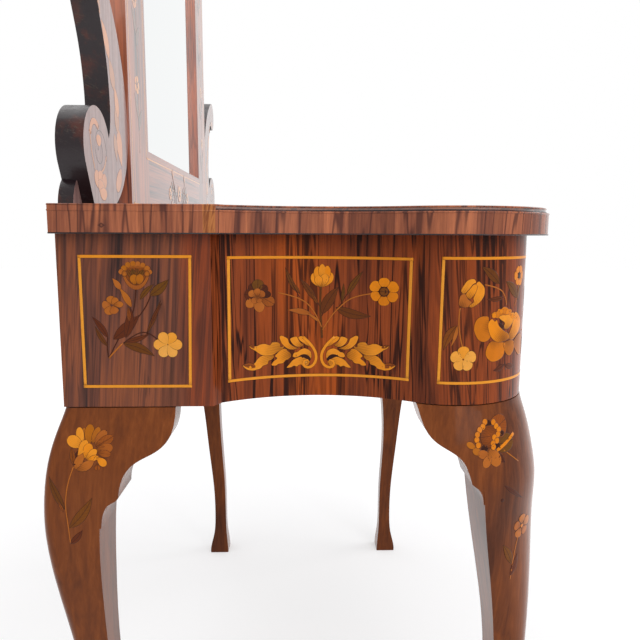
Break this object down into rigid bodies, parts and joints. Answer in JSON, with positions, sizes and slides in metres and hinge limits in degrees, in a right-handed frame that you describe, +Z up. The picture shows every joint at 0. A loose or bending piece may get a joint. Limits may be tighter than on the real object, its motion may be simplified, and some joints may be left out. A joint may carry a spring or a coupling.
{
  "type": "dressing table",
  "caption": "Marquetry dressing table with hollow-sided serpentine case, cabriole legs, sliding drawers and a framed mirror between scrolls.",
  "frame": {"origin": "on the floor, under the middle of the table's outline", "axes": "+X to the sitter's right, -Y towards the sitter, +Z up"},
  "size_m": [0.924, 0.4968, 1.4516],
  "materials": {
    "rosewood_veneer": "figured veneer with floral marquetry and light stringing, high polish",
    "crossband": "cross-banded veneer, high polish",
    "leg_walnut": "polished walnut with marquetry flowers",
    "ebonised": "ebonised and worn, high polish, veneered front",
    "oak": "plain planed wood, unpolished",
    "mirror_glass": "silvered glass",
    "brass": "turned and lacquered",
    "steel": "plain"
  },
  "bodies": {
    "case": {"back_board": "oak", "case_bottom": "oak", "corner_block_left": "rosewood_veneer", "corner_block_right": "rosewood_veneer", "divider_left": "oak", "divider_right": "oak", "drawer_guides": "oak", "drawer_runners": "oak", "drawer_stops": "oak", "flank_panel_left": "rosewood_veneer", "flank_panel_right": "rosewood_veneer", "front_rail_lower": "rosewood_veneer", "front_rail_upper": "rosewood_veneer", "glue_blocks": "oak", "knee_brackets_front_left": "leg_walnut", "knee_brackets_front_right": "leg_walnut", "knee_brackets_rear_left": "leg_walnut", "knee_brackets_rear_right": "leg_walnut", "leg_front_left": "leg_walnut", "leg_front_right": "leg_walnut", "leg_rear_left": "leg_walnut", "leg_rear_right": "leg_walnut", "mirror_backboard": "oak", "mirror_crown": "rosewood_veneer", "mirror_dowels": "oak", "mirror_fillets": "oak", "mirror_glass": "mirror_glass", "mirror_lower_rail": "rosewood_veneer", "mirror_stile_left": "rosewood_veneer", "mirror_stile_right": "rosewood_veneer", "scroll_left": "ebonised", "scroll_right": "ebonised", "scroll_toes": "ebonised", "sweep_panel_left": "rosewood_veneer", "sweep_panel_right": "rosewood_veneer", "top_board": "crossband", "top_leaf": "rosewood_veneer", "top_screws": "steel"},
    "drawer_left": {"drawer_left_back": "oak", "drawer_left_bottom": "oak", "drawer_left_front": "rosewood_veneer", "drawer_left_knob": "brass", "drawer_left_side_left": "oak", "drawer_left_side_right": "oak"},
    "drawer_centre": {"drawer_centre_back": "oak", "drawer_centre_bottom": "oak", "drawer_centre_front": "rosewood_veneer", "drawer_centre_knob": "brass", "drawer_centre_lock": "brass", "drawer_centre_side_left": "oak", "drawer_centre_side_right": "oak"},
    "drawer_right": {"drawer_right_back": "oak", "drawer_right_bottom": "oak", "drawer_right_front": "rosewood_veneer", "drawer_right_knob": "brass", "drawer_right_side_left": "oak", "drawer_right_side_right": "oak"}
  },
  "joints": [
    {"name": "drawer_left_slide", "type": "slide", "parent": "case", "child": "drawer_left", "axis": [0, -1, 0], "range_m": [0, 0.25]},
    {"name": "drawer_centre_slide", "type": "slide", "parent": "case", "child": "drawer_centre", "axis": [0, -1, 0], "range_m": [0, 0.25]},
    {"name": "drawer_right_slide", "type": "slide", "parent": "case", "child": "drawer_right", "axis": [0, -1, 0], "range_m": [0, 0.25]}
  ]
}
